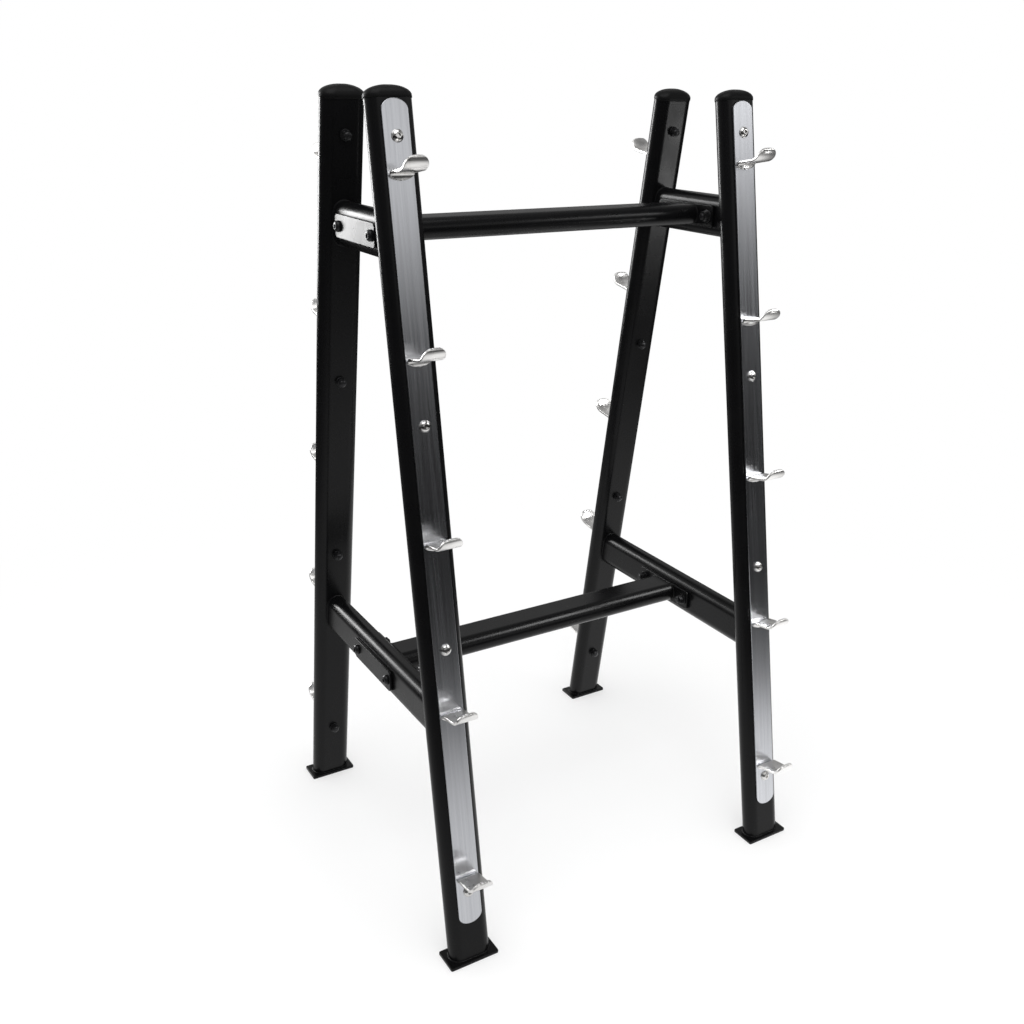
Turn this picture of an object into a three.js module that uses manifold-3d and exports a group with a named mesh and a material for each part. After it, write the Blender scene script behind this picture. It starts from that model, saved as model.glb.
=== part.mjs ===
// Barbell storage rack
//
// Two A-shaped side frames of flat-oval steel tube stand side by side and are joined by
// two crossbars. Each of the four uprights carries a bolted stainless guard strip with
// five S-bent hooks, so a bar lies level across one left and one right hook.
//
// Millimetres. +Z is up and the floor is Z = 0. X runs across the rack, along the bars.
// Y runs from the front of the rack to its rear.

import * as THREE from "three";
import { mergeVertices } from "three/addons/utils/BufferGeometryUtils.js";
import Module from "manifold-3d";

const wasm = await Module();
wasm.setup();

// Overall size: depths are taken between the axes of a front and a rear upright, on the
// floor and at the rack's height
const rackHeight = 1510;
const frameSpacing = 713;
const baseDepth = 690;
const topDepth = 182;

// Flat-oval tube of uprights, braces and crossbars
const tubeWide = 80;
const tubeDeep = 40;
const tubeWall = 3;

// Clearance left between pieces that seat on each other, and overrun of every cutter
const seatGap = 0.3;
const overrun = 5;

// Feet
const footWide = 98;
const footDeep = 53;
const footThick = 6;
const footCorner = 3;

// Domed end caps
const capOverhang = 1;
const capBrim = 4;
const capDome = 17;
const capPlug = 18;
const capCrownShare = 0.12;

// Guard strips
const stripWide = 46;
const stripThick = 4;
const stripEnd = 17;
const stripBelowCap = 2;
const stripAboveFloor = 75;

// Through-bolts of the guard strips
const guardBolt = 10;
const guardHead = 20;
const guardHeadRise = 5;
const guardWasher = 1.5;
const guardNut = 17;
const guardNutThick = 7;
const guardNutDome = 15;
const guardNutDomeRise = 5;
const guardBoltShares = [0.0439, 0.3661, 0.6384, 0.9602];

// Hooks
const hookWide = 42;
const hookThick = 5;
const hookShelf = 42;
const hookTongue = 12;
const hookBend = 6.5;
const hookToeBend = 25;
const hookToeDegrees = 70;
const hookToeEnd = 3;
const hookToeCorner = 16;
const topHookBelowStripHead = 112.5;
const lowHookAboveStripFoot = 93.5;
const hookShares = [1, 0.7602, 0.5065, 0.2569, 0];

// Braces of the side frames
const lowerBraceHeight = 447;
const upperBraceBelowTop = 234;

// Plates that clamp a crossbar to a brace
const plateLong = 170;
const plateTall = 42;
const plateThick = 6;
const plateCorner = 8;

// Bolts of the crossbars
const frameBolt = 12;
const frameBoltSpacing = 140;
const frameBoltHead = 20;
const frameBoltHeadRim = 2;
const frameBoltHeadRise = 5;
const frameBoltWasher = 24;
const frameBoltWasherThick = 2.5;
const frameBoltNut = 18;
const frameBoltNutThick = 10;
const frameBoltTail = 4;

// Facets: a path's arc gets twice its segments
const ovalSegments = 4;
const cornerSegments = 1;
const hookSideSegments = 2;
const hookFrontSegments = 3;
const roundSegments = 10;
const hexSides = 6;
const domeRings = 3;
const headRings = 2;

const lean = Math.atan2((baseDepth - topDepth) / 2, rackHeight);
const upperBraceHeight = rackHeight - upperBraceBelowTop;
const tubeEnd = rackHeight / Math.cos(lean) - capDome - capBrim - seatGap;
const stripFoot = stripAboveFloor / Math.cos(lean);
const stripHead = tubeEnd - stripBelowCap;
const stripBack = tubeDeep / 2 + seatGap;
const stripFace = stripBack + stripThick;
const plateBack = tubeDeep / 2 + seatGap;
const plateFace = plateBack + plateThick;

// Materials

function powderCoat() {
  return new THREE.MeshStandardMaterial({ color: 0x131315, roughness: 0.42, metalness: 0.1 });
}

function brushedSteel() {
  return new THREE.MeshStandardMaterial({ color: 0xb4b8c0, roughness: 0.32, metalness: 1 });
}

function nickelPlate() {
  return new THREE.MeshStandardMaterial({ color: 0xc9c7c2, roughness: 0.24, metalness: 1 });
}

function blackZinc() {
  return new THREE.MeshStandardMaterial({ color: 0x1c1c1e, roughness: 0.3, metalness: 0.8 });
}

function blackPlastic() {
  return new THREE.MeshStandardMaterial({ color: 0x101011, roughness: 0.55, metalness: 0 });
}

// Solids

function toSolid(geometry) {
  const bare = geometry.clone();
  bare.deleteAttribute("normal");
  bare.deleteAttribute("uv");
  const merged = mergeVertices(bare);
  return new wasm.Manifold(new wasm.Mesh({
    numProp: 3,
    vertProperties: new Float32Array(merged.attributes.position.array),
    triVerts: new Uint32Array(merged.index.array),
  }));
}

function toGeometry(solid) {
  const mesh = solid.getMesh();
  const geometry = new THREE.BufferGeometry();
  geometry.setAttribute("position", new THREE.BufferAttribute(mesh.vertProperties, 3));
  geometry.setIndex(new THREE.BufferAttribute(mesh.triVerts, 1));
  const flat = geometry.toNonIndexed();
  flat.computeVertexNormals();
  return flat;
}

function addMesh(parent, name, geometry, material) {
  const mesh = new THREE.Mesh(geometry, material);
  mesh.name = name;
  parent.add(mesh);
}

// Flat-oval outline, long side along X: its ends are half-round, or half ellipses where
// another depth is given for them
function ovalPath(wide, deep, Path = THREE.Shape, end = deep / 2) {
  const half = deep / 2;
  const reach = wide / 2 - end;
  const path = new Path();
  path.moveTo(-reach, -half);
  path.lineTo(reach, -half);
  path.absellipse(reach, 0, end, half, -Math.PI / 2, Math.PI / 2, false);
  path.lineTo(-reach, half);
  path.absellipse(-reach, 0, end, half, Math.PI / 2, Math.PI * 3 / 2, false);
  return path;
}

function roundedRectangle(wide, tall, corner) {
  const right = wide / 2;
  const top = tall / 2;
  const shape = new THREE.Shape();
  shape.moveTo(-right + corner, -top);
  shape.lineTo(right - corner, -top);
  shape.absarc(right - corner, -top + corner, corner, -Math.PI / 2, 0, false);
  shape.lineTo(right, top - corner);
  shape.absarc(right - corner, top - corner, corner, 0, Math.PI / 2, false);
  shape.lineTo(-right + corner, top);
  shape.absarc(-right + corner, top - corner, corner, Math.PI / 2, Math.PI, false);
  shape.lineTo(-right, -top + corner);
  shape.absarc(-right + corner, -top + corner, corner, Math.PI, Math.PI * 3 / 2, false);
  return shape;
}

// Tube of the rack's one flat-oval section, along Z from low to high, long side along X
function ovalTube(low, high) {
  const shape = ovalPath(tubeWide, tubeDeep);
  shape.holes.push(ovalPath(tubeWide - 2 * tubeWall, tubeDeep - 2 * tubeWall, THREE.Path));
  const tube = new THREE.ExtrudeGeometry(shape, {
    depth: high - low,
    bevelEnabled: false,
    curveSegments: ovalSegments,
  });
  tube.translate(0, 0, low);
  return tube;
}

// Turns a piece so that its X, Y and Z run along Y, Z and X
function turnedAlongX(geometry) {
  const across = new THREE.Vector3(0, 1, 0);
  const up = new THREE.Vector3(0, 0, 1);
  const along = new THREE.Vector3(1, 0, 0);
  return geometry.applyMatrix4(new THREE.Matrix4().makeBasis(across, up, along));
}

// Turns a piece so that its X, Y and Z run along Z, X and Y
function turnedAlongY(geometry) {
  return turnedAlongX(turnedAlongX(geometry));
}

// Round bar along X between two places
function barAlongX(diameter, from, to) {
  const bar = new THREE.CylinderGeometry(diameter / 2, diameter / 2, to - from, roundSegments);
  bar.rotateZ(-Math.PI / 2);
  bar.translate((from + to) / 2, 0, 0);
  return bar;
}

// Hexagonal bar along X, its size measured across the flats
function hexAlongX(acrossFlats, from, to) {
  const radius = acrossFlats / 2 / Math.cos(Math.PI / hexSides);
  const bar = new THREE.CylinderGeometry(radius, radius, to - from, hexSides);
  bar.rotateZ(-Math.PI / 2);
  bar.translate((from + to) / 2, 0, 0);
  return bar;
}

function joined(geometries) {
  let solid = toSolid(geometries[0]);
  for (const geometry of geometries.slice(1)) {
    solid = solid.add(toSolid(geometry));
  }
  return solid;
}

// Uprights
// In a leg's own frame Z runs up the tube's axis, from the point where the axis meets the
// floor, and -Y is the outer face that carries the guard strip.

function legPlacement(end) {
  const leg = new THREE.Object3D();
  leg.position.set(0, end * baseDepth / 2, 0);
  leg.rotation.set(-lean, 0, end > 0 ? Math.PI : 0, "ZYX");
  leg.updateMatrix();
  return leg;
}

function guardBoltHeights() {
  return guardBoltShares.map((share) => stripFoot + share * (stripHead - stripFoot));
}

function uprightGeometry() {
  let solid = toSolid(ovalTube(-tubeDeep, tubeEnd));
  const reach = tubeWide + tubeDeep;
  const floorCut = footThick + seatGap;
  const ground = new THREE.BoxGeometry(reach, reach, reach);
  ground.translate(0, 0, floorCut - reach / 2);
  ground.rotateX(lean);
  solid = solid.subtract(toSolid(ground));
  const holeEnd = tubeDeep / 2 + overrun;
  for (const height of guardBoltHeights()) {
    const hole = barAlongX(guardBolt + 2 * seatGap, -holeEnd, holeEnd);
    hole.rotateZ(Math.PI / 2);
    hole.translate(0, 0, height);
    solid = solid.subtract(toSolid(hole));
  }
  return toGeometry(solid);
}

// Rings of equal point count, stacked along Z and closed at both ends by a fan
function loftedGeometry(rings) {
  const count = rings[0].points.length;
  const positions = [];
  const index = [];
  for (const ring of rings) {
    for (const point of ring.points) {
      positions.push(point.x, point.y, ring.height);
    }
  }
  for (let level = 0; level + 1 < rings.length; level += 1) {
    for (let step = 0; step < count; step += 1) {
      const next = (step + 1) % count;
      const low = level * count;
      const high = low + count;
      index.push(low + step, low + next, high + next);
      index.push(low + step, high + next, high + step);
    }
  }
  const topFan = positions.length / 3;
  positions.push(0, 0, rings.at(-1).height);
  positions.push(0, 0, rings[0].height);
  const topRing = (rings.length - 1) * count;
  for (let step = 0; step < count; step += 1) {
    const next = (step + 1) % count;
    index.push(topRing + step, topRing + next, topFan);
    index.push(next, step, topFan + 1);
  }
  const geometry = new THREE.BufferGeometry();
  geometry.setAttribute("position", new THREE.Float32BufferAttribute(positions, 3));
  geometry.setIndex(index);
  const flat = geometry.toNonIndexed();
  flat.computeVertexNormals();
  return flat;
}

function ovalRing(wide, deep, height) {
  const points = ovalPath(wide, deep).getPoints(ovalSegments);
  return { points: points.slice(0, -1), height };
}

// Cap with a plug inside the tube, a flat brim on the tube's end and a dome above it
function capGeometry() {
  const plugWide = tubeWide - 2 * tubeWall - 2 * seatGap;
  const plugDeep = tubeDeep - 2 * tubeWall - 2 * seatGap;
  const brimWide = tubeWide + 2 * capOverhang;
  const brimDeep = tubeDeep + 2 * capOverhang;
  const brimLow = tubeEnd + seatGap;
  const brimHigh = brimLow + capBrim;
  const rings = [
    ovalRing(plugWide, plugDeep, brimLow - capPlug),
    ovalRing(plugWide, plugDeep, brimLow),
    ovalRing(brimWide, brimDeep, brimLow),
  ];
  for (let ring = 0; ring <= domeRings; ring += 1) {
    const angle = Math.PI / 2 * ring / domeRings;
    const share = Math.max(Math.cos(angle), capCrownShare);
    const height = brimHigh + capDome * Math.sin(angle);
    rings.push(ovalRing(brimWide * share, brimDeep * share, height));
  }
  return loftedGeometry(rings);
}

function footGeometry() {
  return new THREE.ExtrudeGeometry(roundedRectangle(footWide, footDeep, footCorner), {
    depth: footThick,
    bevelEnabled: false,
    curveSegments: cornerSegments,
  });
}

// Button along X: flat at its foot, straight to its rim and domed above it
function domeAlongX(diameter, foot, rim, rise) {
  const profile = [new THREE.Vector2(0, foot), new THREE.Vector2(diameter / 2, foot)];
  for (let step = 0; step < headRings; step += 1) {
    const angle = Math.PI / 2 * step / headRings;
    const height = rim + rise * Math.sin(angle);
    profile.push(new THREE.Vector2(diameter / 2 * Math.cos(angle), height));
  }
  profile.push(new THREE.Vector2(0, rim + rise));
  const button = new THREE.LatheGeometry(profile, roundSegments);
  button.rotateZ(-Math.PI / 2);
  return button;
}

// Through-bolt along X: a domed head over a washer on the strip, a shank through the
// tube, and a washer and a domed nut on the tube's inner face
function guardBoltParts() {
  const headRim = stripFace + guardWasher;
  const head = domeAlongX(guardHead, stripFace - stripThick / 2, headRim, guardHeadRise);
  const innerFace = -tubeDeep / 2 - seatGap;
  const washerEnd = innerFace - guardWasher;
  const nutEnd = washerEnd - guardNutThick;
  const shank = barAlongX(guardBolt, nutEnd, stripFace);
  const washer = barAlongX(guardHead, washerEnd, innerFace);
  const nut = hexAlongX(guardNut, nutEnd, washerEnd + guardWasher / 2);
  const dome = domeAlongX(guardNutDome, -washerEnd, -nutEnd, guardNutDomeRise);
  dome.rotateZ(Math.PI);
  return [head, shank, washer, nut, dome];
}

// Strip with rounded ends and the heads, shanks and nuts of its four through-bolts
function guardStripGeometry() {
  const outline = ovalPath(stripHead - stripFoot, stripWide, THREE.Shape, stripEnd);
  const strip = new THREE.ExtrudeGeometry(outline, {
    depth: stripThick,
    bevelEnabled: false,
    curveSegments: ovalSegments,
  });
  turnedAlongY(strip);
  strip.translate(0, -stripFace, (stripFoot + stripHead) / 2);
  let solid = toSolid(strip);
  for (const height of guardBoltHeights()) {
    for (const part of guardBoltParts()) {
      part.rotateZ(-Math.PI / 2);
      part.translate(0, 0, height);
      solid = solid.add(toSolid(part));
    }
  }
  return toGeometry(solid);
}

// Hook side view: a tongue down the strip, a shelf square to it and a toe that sweeps up.
// X is the distance out from the strip and Y the height over the shelf's middle plane.
function hookProfile() {
  const half = hookThick / 2;
  const corner = new THREE.Vector2(half + hookBend, -hookBend);
  const toe = new THREE.Vector2(hookShelf, hookToeBend);
  const start = -Math.PI / 2;
  const finish = start + THREE.MathUtils.degToRad(hookToeDegrees);
  const outward = new THREE.Vector2(Math.cos(finish), Math.sin(finish));
  const along = new THREE.Vector2(-outward.y, outward.x).multiplyScalar(hookToeEnd);
  const under = toe.clone().addScaledVector(outward, hookToeBend + half).add(along);
  const over = toe.clone().addScaledVector(outward, hookToeBend - half).add(along);
  const shape = new THREE.Shape();
  shape.moveTo(hookThick, -hookTongue);
  shape.absarc(corner.x, corner.y, hookBend - half, Math.PI, Math.PI / 2, true);
  shape.absarc(toe.x, toe.y, hookToeBend + half, start, finish, false);
  shape.lineTo(under.x, under.y);
  shape.lineTo(over.x, over.y);
  shape.absarc(toe.x, toe.y, hookToeBend - half, finish, start, true);
  shape.absarc(corner.x, corner.y, hookBend + half, Math.PI / 2, Math.PI, false);
  shape.lineTo(0, -hookTongue);
  return { shape, top: Math.max(under.y, over.y) };
}

// Hook front view: half-round tongue below, rounded corners at the toe
function hookFront(top) {
  const right = hookWide / 2;
  const shoulder = -hookThick / 2;
  const corner = top - hookToeCorner;
  const shape = new THREE.Shape();
  shape.moveTo(-right, shoulder);
  shape.absellipse(0, shoulder, right, hookTongue + shoulder, Math.PI, Math.PI * 2, false);
  shape.lineTo(right, corner);
  shape.absarc(right - hookToeCorner, corner, hookToeCorner, 0, Math.PI / 2, false);
  shape.lineTo(-right + hookToeCorner, top);
  shape.absarc(-right + hookToeCorner, corner, hookToeCorner, Math.PI / 2, Math.PI, false);
  return shape;
}

function hookGeometry() {
  const { shape, top } = hookProfile();
  const bent = new THREE.ExtrudeGeometry(shape, {
    depth: hookWide,
    bevelEnabled: false,
    curveSegments: hookSideSegments,
  });
  bent.translate(0, 0, -hookWide / 2);
  bent.applyMatrix4(new THREE.Matrix4().makeBasis(
    new THREE.Vector3(0, -1, 0),
    new THREE.Vector3(0, 0, 1),
    new THREE.Vector3(-1, 0, 0),
  ));
  const reach = hookShelf + hookToeBend + hookToeEnd + hookThick;
  const front = new THREE.ExtrudeGeometry(hookFront(top), {
    depth: reach + overrun,
    bevelEnabled: false,
    curveSegments: hookFrontSegments,
  });
  front.rotateX(Math.PI / 2);
  front.translate(0, overrun, 0);
  return toGeometry(toSolid(bent).intersect(toSolid(front)));
}

function hookHeights() {
  const low = stripFoot + lowHookAboveStripFoot;
  const high = stripHead - topHookBelowStripHead;
  return hookShares.map((share) => low + share * (high - low));
}

function addLeg(frame, end, name) {
  const leg = new THREE.Group();
  const place = legPlacement(end);
  leg.position.copy(place.position);
  leg.rotation.copy(place.rotation);
  frame.add(leg);
  addMesh(leg, `${name}_upright`, uprightGeometry(), powderCoat());
  addMesh(leg, `${name}_cap`, capGeometry(), blackPlastic());
  addMesh(leg, `${name}_guard_strip`, guardStripGeometry(), brushedSteel());
  hookHeights().forEach((height, row) => {
    const hook = new THREE.Group();
    hook.position.set(0, -stripFace - seatGap, height);
    leg.add(hook);
    addMesh(hook, `${name}_hook_${row + 1}`, hookGeometry(), nickelPlate());
  });
  const foot = new THREE.Group();
  foot.position.set(0, end * baseDepth / 2, 0);
  frame.add(foot);
  addMesh(foot, `${name}_foot`, footGeometry(), powderCoat());
}

// Braces and crossbars

function frameBoltHole(y) {
  const hole = barAlongX(frameBolt + 2 * seatGap, -plateFace - overrun, plateFace + overrun);
  hole.translate(0, y, 0);
  return toSolid(hole);
}

function frameBoltPlaces() {
  return [-frameBoltSpacing / 2, frameBoltSpacing / 2];
}

// Tube on edge between the two uprights, mitred to their inner faces
function braceGeometry(height) {
  let solid = toSolid(turnedAlongY(ovalTube(-baseDepth / 2, baseDepth / 2)));
  for (const end of [-1, 1]) {
    const beyond = new THREE.BoxGeometry(tubeWide, baseDepth, 2 * rackHeight);
    beyond.translate(0, tubeDeep / 2 + seatGap - baseDepth / 2, 0);
    beyond.applyMatrix4(legPlacement(end).matrix);
    beyond.translate(0, 0, -height);
    solid = solid.subtract(toSolid(beyond));
  }
  for (const y of frameBoltPlaces()) {
    solid = solid.subtract(frameBoltHole(y));
  }
  return toGeometry(solid);
}

// Plate in the YZ plane, its back on a brace's side face
function plateGeometry() {
  const plate = new THREE.ExtrudeGeometry(roundedRectangle(plateLong, plateTall, plateCorner), {
    depth: plateThick,
    bevelEnabled: false,
    curveSegments: cornerSegments,
  });
  turnedAlongX(plate);
  plate.translate(plateBack, 0, 0);
  let solid = toSolid(plate);
  for (const y of frameBoltPlaces()) {
    solid = solid.subtract(frameBoltHole(y));
  }
  return toGeometry(solid);
}

// Button-head bolt along X, its head on the clamp plate and its washer and hexagon nut on
// the crossbar's flange
function frameBoltGeometry() {
  const seat = plateFace + seatGap;
  const headRim = seat + frameBoltHeadRim;
  const washerEnd = -seat - frameBoltWasherThick;
  const nutEnd = washerEnd - frameBoltNutThick;
  return toGeometry(joined([
    domeAlongX(frameBoltHead, seat, headRim, frameBoltHeadRise),
    barAlongX(frameBolt, nutEnd - frameBoltTail, headRim),
    barAlongX(frameBoltWasher, washerEnd, -seat),
    hexAlongX(frameBoltNut, nutEnd, washerEnd + frameBoltWasherThick / 2),
  ]));
}

function addBrace(frame, side, name, height) {
  const place = new THREE.Group();
  place.position.set(0, 0, height);
  place.rotation.set(0, 0, side > 0 ? 0 : Math.PI);
  frame.add(place);
  addMesh(place, `${name}_brace`, braceGeometry(height), powderCoat());
  addMesh(place, `${name}_clamp_plate`, plateGeometry(), powderCoat());
  const flange = plateGeometry();
  flange.rotateZ(Math.PI);
  addMesh(place, `${name}_crossbar_flange`, flange, powderCoat());
  for (const y of frameBoltPlaces()) {
    const bolt = new THREE.Group();
    bolt.position.set(0, y, 0);
    place.add(bolt);
    const end = y * side < 0 ? "front" : "rear";
    addMesh(bolt, `${name}_${end}_bolt`, frameBoltGeometry(), blackZinc());
  }
}

// Tube lying flat between the flanges of the two side frames
function crossbarGeometry() {
  const reach = frameSpacing / 2 - plateFace - seatGap;
  return turnedAlongX(ovalTube(-reach, reach));
}

// Assembly

const rack = new THREE.Group();

for (const [side, sideName] of [[-1, "left"], [1, "right"]]) {
  const frame = new THREE.Group();
  frame.position.set(side * frameSpacing / 2, 0, 0);
  rack.add(frame);
  addLeg(frame, -1, `front_${sideName}`);
  addLeg(frame, 1, `rear_${sideName}`);
  addBrace(frame, side, `${sideName}_upper`, upperBraceHeight);
  addBrace(frame, side, `${sideName}_lower`, lowerBraceHeight);
}

for (const [name, height] of [["upper", upperBraceHeight], ["lower", lowerBraceHeight]]) {
  const place = new THREE.Group();
  place.position.set(0, 0, height);
  rack.add(place);
  addMesh(place, `${name}_crossbar`, crossbarGeometry(), powderCoat());
}

export default rack;
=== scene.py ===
"""Barbell storage rack: fine meshes and finishes laid over the rack's CAD frame.

Everything is in metres. +Z is up, X runs along the stored bars and Y from the front of the
rack to its rear. A leg has a frame of its own: Z runs up the axis of its tube from the
floor, and -Y is the outer face, which carries the guard strip and the hooks.
"""

import math
from functools import partial

import bmesh
import bpy
from mathutils import Matrix, Vector


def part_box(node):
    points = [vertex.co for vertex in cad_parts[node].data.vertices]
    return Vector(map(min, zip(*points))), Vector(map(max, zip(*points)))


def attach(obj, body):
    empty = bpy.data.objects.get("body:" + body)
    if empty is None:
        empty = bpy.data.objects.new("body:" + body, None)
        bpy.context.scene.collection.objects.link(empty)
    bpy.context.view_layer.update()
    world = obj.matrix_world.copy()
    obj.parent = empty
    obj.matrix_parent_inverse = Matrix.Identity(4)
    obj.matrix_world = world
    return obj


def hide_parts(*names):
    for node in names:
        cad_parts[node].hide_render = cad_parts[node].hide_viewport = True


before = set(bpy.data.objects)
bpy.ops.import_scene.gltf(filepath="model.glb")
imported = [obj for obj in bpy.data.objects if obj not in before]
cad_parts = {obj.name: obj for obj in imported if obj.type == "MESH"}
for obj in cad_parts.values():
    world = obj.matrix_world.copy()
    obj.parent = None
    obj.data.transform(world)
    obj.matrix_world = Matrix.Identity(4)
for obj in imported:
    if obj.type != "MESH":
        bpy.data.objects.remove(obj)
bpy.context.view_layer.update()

bl_info = {
    "name": "Barbell Storage Rack",
    "version": (1, 0, 0),
    "blender": (4, 5, 0),
    "location": "View3D > Sidebar > Rack",
    "description": "Builds a two-sided storage rack for barbells, piece by piece",
    "category": "Object",
}

BODY = "root"
MM = 0.001
SIDES = (("left", -1), ("right", 1))
ENDS = (("front", -1), ("rear", 1))
LEVELS = ("upper", "lower")
HOOK_ROWS = (1, 2, 3, 4, 5)


def box_centre(node):
    """Middle of a CAD node's box."""
    low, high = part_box(node)
    return (low + high) / 2


# Places that the frame gives
HOOK_PLACES = [box_centre(f"front_left_hook_{row}") for row in HOOK_ROWS]
HOOK_RUN = HOOK_PLACES[0] - HOOK_PLACES[-1]
LEAN = math.atan2(HOOK_RUN.y, HOOK_RUN.z)
SINE, COSINE = math.sin(LEAN), math.cos(LEAN)
HALF_SPACING = abs(box_centre("front_left_foot").x)
HALF_BASE = abs(box_centre("front_left_foot").y)
BRACE_HEIGHTS = {level: box_centre(f"left_{level}_brace").z for level in LEVELS}

# Heights along a leg
TUBE_END = 1509.9 * MM
STRIP_FOOT = 76.05 * MM
STRIP_HEAD = 1507.9 * MM
GUARD_BOLTS = (138.9 * MM, 600.2 * MM, 990.1 * MM, 1450.9 * MM)
LOWEST_SHELF = 169.55 * MM
HOOK_SHELVES = [LOWEST_SHELF + (place - HOOK_PLACES[-1]).length for place in HOOK_PLACES]

# Sizes that no user changes
SEAT_GAP = 0.3 * MM
CAP_OVERHANG = 1 * MM
CAP_PLUG = 18 * MM
CAP_SOFTENING = 0.8 * MM
CAP_SOFTENING_MIDDLE = 0.3
CAP_CROWN_SHARE = 0.04
FOOT_CORNER = 3 * MM
FOOT_RIM = 1 * MM
STRIP_END = 17 * MM
STRIP_RIM = 0.7 * MM
PLATE_SIZE = (170 * MM, 42 * MM, 6 * MM)
PLATE_CORNER = 8 * MM
PLATE_RIM = 1.2 * MM
JOINT_BOLT_SPACING = 140 * MM
GUARD_BOLT_SPIN = math.radians(19)
JOINT_BOLT_SPIN = math.radians(17)
HOOK_TONGUE = 12 * MM
HOOK_BEND = 6.5 * MM
HOOK_SHELF_SHARE = 0.6
HOOK_TOE_BEND = 25 * MM
HOOK_TOE_ANGLE = math.radians(70)
HOOK_TOE_END = 3 * MM
HOOK_TOE_CORNER = 16 * MM
HOOK_RIM = 0.8 * MM
HOOK_RIM_SHARE = 0.95
HOOK_BEAD_SHARE = 0.4
BEAD_PITCH_SHARE = 1.4
BEAD_RIPPLE = 0.1
STEEL_DULL_SHARE = 0.84

# How finely curves are cut
ARC_STEPS = 24
CORNER_STEPS = 6
DOME_STEPS = 18
RIM_STEPS = 3
TURNED_STEPS = 32
TONGUE_ANGLES = [math.radians(84 - 7.2 * step) for step in range(10)]
BEND_STEPS = 8
TOE_STEPS = 12
TOE_CORNER_ANGLES = [math.radians(degrees) for degrees in range(0, 91, 15)]
HOOK_RIM_ANGLES = (math.pi / 2, math.pi / 4, math.radians(15))
HOOK_BEAD_ANGLES = [math.radians(-160 + 140 * step / 24) for step in range(25)]
BEAD_SECTION_STEPS = 10
RIPPLE_STEPS = 5
FLAT_MARGIN = 0.7 * MM


def length_property(name, description, millimetres):
    """Property for a length."""
    return bpy.props.FloatProperty(
        name=name, description=description, default=millimetres * MM, unit="LENGTH"
    )


def share_property(name, description, default):
    """Property for a share from 0 to 1."""
    return bpy.props.FloatProperty(
        name=name, description=description, default=default, subtype="FACTOR", min=0, max=1
    )


def angle_property(name, description, degrees):
    """Property for an angle."""
    return bpy.props.FloatProperty(
        name=name, description=description, default=math.radians(degrees), subtype="ANGLE"
    )


def colour_property(name, description, *default):
    """Property for a colour as linear red, green and blue."""
    return bpy.props.FloatVectorProperty(
        name=name, description=description, default=default, subtype="COLOR", min=0, max=1
    )


class RackSizes(bpy.types.PropertyGroup):
    """Sizes of the rack's pieces"""

    tube_wide: length_property("Tube width", "Long side of the flat-oval tube", 80)
    tube_deep: length_property("Tube depth", "Short side of the flat-oval tube", 40)
    tube_wall: length_property("Tube wall", "Wall of the flat-oval tube", 3)
    cap_rise: length_property("Cap dome", "Rise of an end cap over its brim", 17)
    cap_brim: length_property("Cap brim", "Height of an end cap's straight edge", 4)
    strip_wide: length_property(
        "Guard strip width", "Width of the flat bar that guards an upright", 46
    )
    strip_thick: length_property(
        "Guard strip thickness", "Thickness of the flat bar that guards an upright", 4
    )
    hook_wide: length_property("Hook width", "Width of a hook's plate", 42)
    hook_thick: length_property("Hook thickness", "Thickness of a hook's plate", 5)
    hook_shelf: length_property(
        "Hook shelf", "Distance from the guard strip to the start of a hook's toe", 42
    )
    bead_radius: length_property("Weld bead", "Radius of the weld beads of the frame", 1.7)


class RackFinishes(bpy.types.PropertyGroup):
    """Colours and gloss of the rack's finishes"""

    coat_colour: colour_property(
        "Powder coat", "Colour of the painted steel", 0.003, 0.003, 0.0033
    )
    coat_roughness: share_property(
        "Powder coat roughness", "Mean roughness of the painted steel", 0.26
    )
    steel_colour: colour_property(
        "Stainless steel", "Colour of the brushed guard strips", 0.62, 0.63, 0.66
    )
    steel_roughness: share_property(
        "Stainless roughness", "Mean roughness of the brushed guard strips", 0.22
    )
    nickel_colour: colour_property(
        "Nickel plate", "Colour of the plated hooks", 0.84, 0.83, 0.815
    )
    bolt_colour: colour_property(
        "Black zinc", "Colour of the crossbar bolts and of the nuts", 0.014, 0.014, 0.015
    )
    cap_colour: colour_property(
        "End cap plastic", "Colour of the end caps", 0.004, 0.004, 0.0042
    )


class StageSettings(bpy.types.PropertyGroup):
    """Floor, light and camera"""

    focal_length: bpy.props.FloatProperty(
        name="Focal length",
        description="Focal length of the camera in millimetres",
        default=39.085,
        min=1,
    )
    camera_place: bpy.props.FloatVectorProperty(
        name="Camera place",
        description="Where the camera stands",
        default=(-1.1242, -1.8001, 1.5110),
        subtype="TRANSLATION",
        unit="LENGTH",
    )
    camera_heading: angle_property(
        "Camera heading", "Turn of the camera from +Y towards +X", 31.732
    )
    camera_pitch: angle_property("Camera pitch", "Tilt of the camera over the horizon", -19.989)
    camera_roll: angle_property("Camera roll", "Turn of the camera about its own axis", 0.869)
    shift_x: bpy.props.FloatProperty(
        name="Camera shift X",
        description="Sideways shift of the lens, as a share of the picture's width",
        default=-0.0239,
    )
    shift_y: bpy.props.FloatProperty(
        name="Camera shift Y",
        description="Upward shift of the lens, as a share of the picture's width",
        default=-0.0210,
    )
    floor_colour: colour_property("Floor", "Colour of the floor", 0.93, 0.93, 0.93)


# Shapes


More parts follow.
